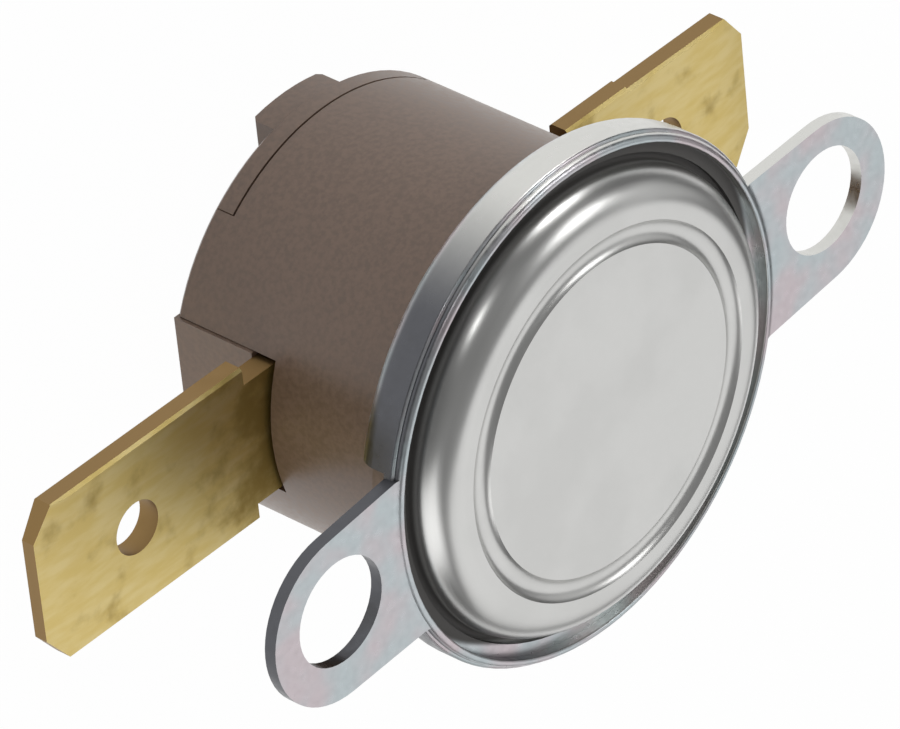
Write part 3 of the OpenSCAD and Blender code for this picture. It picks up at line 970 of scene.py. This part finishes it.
@dataclass
class SnapWorks(SubAssembly):
    """Bimetal disc, transfer pin, spring arm, contacts and rivet, in mm."""

    disc_dome: float = 0.35
    disc_t: float = 0.25
    pin_round: float = 0.15
    pin_dome: float = 0.12
    leaf_turn_deg: float = -4.5
    leaf_z: float = -7.93
    foot_reach: float = 3.4
    bend_reach: float = 2.6
    head_r: float = 1.3
    head_t: float = 0.37
    shank_r: float = 0.7
    upset_r: float = 1.0
    upset_t: float = 0.25
    head_round: float = 0.12
    disc_segments: int = 128
    small_segments: int = 64

    @staticmethod
    def _reach(node: str) -> tuple[tuple[float, float], float, float, float]:
        """Where a round node lies.

        Args:
            node: Name of the node.

        Returns:
            Its axis in X and Y, its radius, and its lowest and highest points, in mm.
        """
        low, high = (tuple(value / MM for value in corner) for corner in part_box(node))
        axis = ((low[0] + high[0]) / 2, (low[1] + high[1]) / 2)
        return axis, (high[0] - low[0]) / 2, low[2], high[2]

    def _disc(self) -> None:
        """Turns the domed disc."""
        axis, edge_r, low, _ = self._reach("bimetal_disc")
        dome_r = (edge_r**2 + self.disc_dome**2) / (2 * self.disc_dome)
        turn = math.degrees(math.asin(edge_r / (dome_r + self.disc_t)))
        middle = (0.0, low + self.disc_dome - dome_r)
        front = arc(middle, dome_r + self.disc_t, 90, 90 - turn, 16)
        profile = front + arc(middle, dome_r, 90 - turn, 90, 16)
        self.stand_in("bimetal_disc", Body.SWITCH, Slot.BIMETAL, profile, axis, self.disc_segments)

    def _pin(self) -> None:
        """Turns the transfer pin with a rounded head and a domed foot that rolls on the leaf."""
        axis, r, low, high = self._reach("transfer_pin")
        ease = self.pin_round
        dome_r = (r**2 + self.pin_dome**2) / (2 * self.pin_dome)
        turn = math.degrees(math.asin(r / dome_r))
        head = [(0.0, high)] + arc((r - ease, high - ease), ease, 90, 0, 5)
        profile = head + arc((0.0, low + dome_r), dome_r, turn - 90, -90)
        self.stand_in("transfer_pin", Body.PIN, Slot.CERAMIC, profile, axis, self.small_segments)

    def _leaf(self) -> None:
        """Shows the spring leaf, which runs from its riveted foot to the blade that the pin pushes, as a
        smooth copy with its placement applied to its mesh.
        """
        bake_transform(self.copy("contact_arm", Slot.COPPER))

    def _headed(
        self,
        node: str,
        body: Body,
        slot: Slot,
        low_head: tuple[float, float],
        high_head: tuple[float, float],
    ) -> None:
        """Turns a shank between two heads.

        Args:
            node: Name of the node.
            body: Body that it rides on.
            slot: Its material slot.
            low_head: Radius and thickness of the lower head.
            high_head: Radius and thickness of the upper head.
        """
        axis, _, low, high = self._reach(node)
        ease = self.head_round
        profile = (
            [(0.0, high)]
            + arc((high_head[0] - ease, high - ease), ease, 90, 0, 5)
            + [(high_head[0], high - high_head[1]), (self.shank_r, high - high_head[1])]
            + [(self.shank_r, low + low_head[1]), (low_head[0], low + low_head[1])]
            + arc((low_head[0] - ease, low + ease), ease, 0, -90, 5)
            + [(0.0, low)]
        )
        self.stand_in(node, body, slot, profile, axis, self.small_segments)

    def build(self) -> None:
        """Builds the works in order."""
        self._disc()
        self._pin()
        head = (self.head_r, self.head_t)
        upset = (self.upset_r, self.upset_t)
        self._headed("fixed_contact", Body.SWITCH, Slot.SILVER, head, upset)
        self._headed("moving_contact", Body.ARM, Slot.SILVER, upset, head)
        self._headed("arm_rivet", Body.SWITCH, Slot.BRASS, upset, upset)
        self._leaf()


@dataclass(frozen=True)
class Lamp:
    """Soft square lamp that faces the part."""

    name: str
    toward: tuple[float, float, float]
    distance: float
    size: float
    level: float

    def hang(self, middle: Vector) -> None:
        """Hangs the lamp, whose face is white at a level of 1.

        Args:
            middle: Point that the lamp faces, in metres.
        """
        data = bpy.data.lights.new(self.name, "AREA")
        data.shape = "SQUARE"
        data.size = self.size
        data.energy = self.level * math.pi * self.size**2
        made = bpy.data.objects.new(self.name, data)
        away = Vector(self.toward).normalized()
        turn = away.to_track_quat("Z", "Y").to_matrix().to_4x4()
        made.matrix_world = Matrix.Translation(middle + away * self.distance) @ turn
        bpy.context.scene.collection.objects.link(made)


@dataclass
class Studio:
    """Floor, soft lamps, white surround and camera, in metres."""

    floor_z: float
    floor_half: float = 1.5
    floor_colour: str = "#e6e6e6"
    # The rest of the floor's look is its own paint, which keeps the shadow
    floor_white: float = 0.985
    sky_z: tuple[float, float] = (0.0, 0.9)
    sky_level: tuple[float, float] = (0.08, 0.25)
    lit_z: float = -4 * MM
    lamps: tuple[Lamp, ...] = (
        Lamp("rear_panel", (0.27, -0.69, 0.66), 0.32, 0.37, 0.76),
        Lamp("front_panel", (0.83, -0.06, 0.55), 0.36, 0.2, 0.42),
        Lamp("key", (0.55, 0.38, 0.72), 0.35, 0.12, 3.5),
        Lamp("fill", (-0.42, 0.78, 0.44), 0.4, 0.04, 16.0),
        Lamp("side", (-0.8, -0.5, 0.3), 0.4, 0.3, 1.3),
        Lamp("top", (0.5, 0.85, 0.02), 0.35, 0.12, 7.0),
    )
    camera_at: tuple[float, float, float] = (-0.164436, 0.196993, 0.174778)
    camera_right: tuple[float, float, float] = (0.653341, -0.137359, 0.744499)
    camera_up: tuple[float, float, float] = (0.547755, 0.764607, -0.339618)
    camera_back: tuple[float, float, float] = (-0.522599, 0.629689, 0.574788)
    sensor_mm: float = 36.0
    lens_mm: float = 390.04
    clip_start: float = 0.01

    @staticmethod
    def _seen(tree: bpy.types.NodeTree) -> bpy.types.NodeSocket:
        """Mask of the rays that should find a white surround.

        Args:
            tree: Node tree.

        Returns:
            1 for camera, glossy and transmission rays and 0 for the others.
        """
        ray = add(tree, "ShaderNodeLightPath").outputs
        shown = {0: ray["Is Camera Ray"], 1: ray["Is Glossy Ray"]}
        seen = add(tree, "ShaderNodeMath", shown, operation="MAXIMUM").outputs[0]
        through = {0: seen, 1: ray["Is Transmission Ray"]}
        return add(tree, "ShaderNodeMath", through, operation="MAXIMUM").outputs[0]

    def floor(self) -> None:
        """Lays a plain pale floor that keeps a faint shadow."""
        half = self.floor_half
        mesh = bpy.data.meshes.new("floor")
        corners = [(-half, -half), (half, -half), (half, half), (-half, half)]
        mesh.from_pydata([(x, y, self.floor_z) for x, y in corners], [], [(0, 1, 2, 3)])
        plane = bpy.data.objects.new("floor", mesh)
        bpy.context.scene.collection.objects.link(plane)
        made = bpy.data.materials.new("pale floor")
        made.use_nodes = True
        tree = made.node_tree
        tree.nodes.clear()
        paint = add(tree, "ShaderNodeBsdfDiffuse", {"Color": linear(self.floor_colour)})
        white = add(tree, "ShaderNodeEmission", {"Color": (1, 1, 1, 1), "Strength": 1.0})
        share = add(tree, "ShaderNodeMath", {0: self._seen(tree), 1: self.floor_white}, operation="MULTIPLY")
        mixed = {0: share.outputs[0], 1: paint.outputs[0], 2: white.outputs[0]}
        both = add(tree, "ShaderNodeMixShader", mixed)
        add(tree, "ShaderNodeOutputMaterial", {"Surface": both.outputs[0]})
        mesh.materials.append(made)

    def world(self) -> None:
        """Sets a dim surround that brightens from the floor up."""
        made = bpy.data.worlds.new("studio")
        made.use_nodes = True
        bpy.context.scene.world = made
        tree = made.node_tree
        tree.nodes.clear()
        place = add(tree, "ShaderNodeTexCoord").outputs["Generated"]
        height = add(tree, "ShaderNodeSeparateXYZ", {0: place}).outputs["Z"]
        low, high = self.sky_z
        dim, bright = self.sky_level
        rise = add(tree, "ShaderNodeMapRange", {0: height, 1: low, 2: high, 3: dim, 4: bright}, **SOFT)
        sky = add(tree, "ShaderNodeBackground", {"Color": (1, 1, 1, 1), "Strength": rise.outputs[0]})
        add(tree, "ShaderNodeOutputWorld", {"Surface": sky.outputs[0]})

    def camera(self) -> None:
        """Sets the camera at the photograph's place, with its long lens."""
        data = bpy.data.cameras.new("camera")
        data.sensor_fit = "HORIZONTAL"
        data.sensor_width = self.sensor_mm
        data.lens = self.lens_mm
        data.clip_start = self.clip_start
        made = bpy.data.objects.new("camera", data)
        turn = Matrix((self.camera_right, self.camera_up, self.camera_back)).transposed().to_4x4()
        made.matrix_world = Matrix.Translation(self.camera_at) @ turn
        bpy.context.scene.collection.objects.link(made)
        bpy.context.scene.camera = made

    def build(self) -> None:
        """Sets up the whole studio."""
        bpy.context.scene.view_settings.view_transform = "Standard"
        self.floor()
        self.world()
        for lamp in self.lamps:
            lamp.hang(Vector((0, 0, self.lit_z)))
        self.camera()
        LOG.info("studio: floor at %.2f mm", self.floor_z / MM)


def main() -> None:
    """Builds the scene's pieces in order."""
    logging.basicConfig(level=logging.INFO, format="%(name)s: %(message)s")
    finishes, lathe = Finishes(), Lathe()
    for kind in (MountingFlange, SensingCap, MouldedBody, BladeTerminals, SnapWorks):
        kind(finishes, lathe).build()
    Studio(CAD_BOX[0][2]).build()


if __name__ == "__main__":
    main()
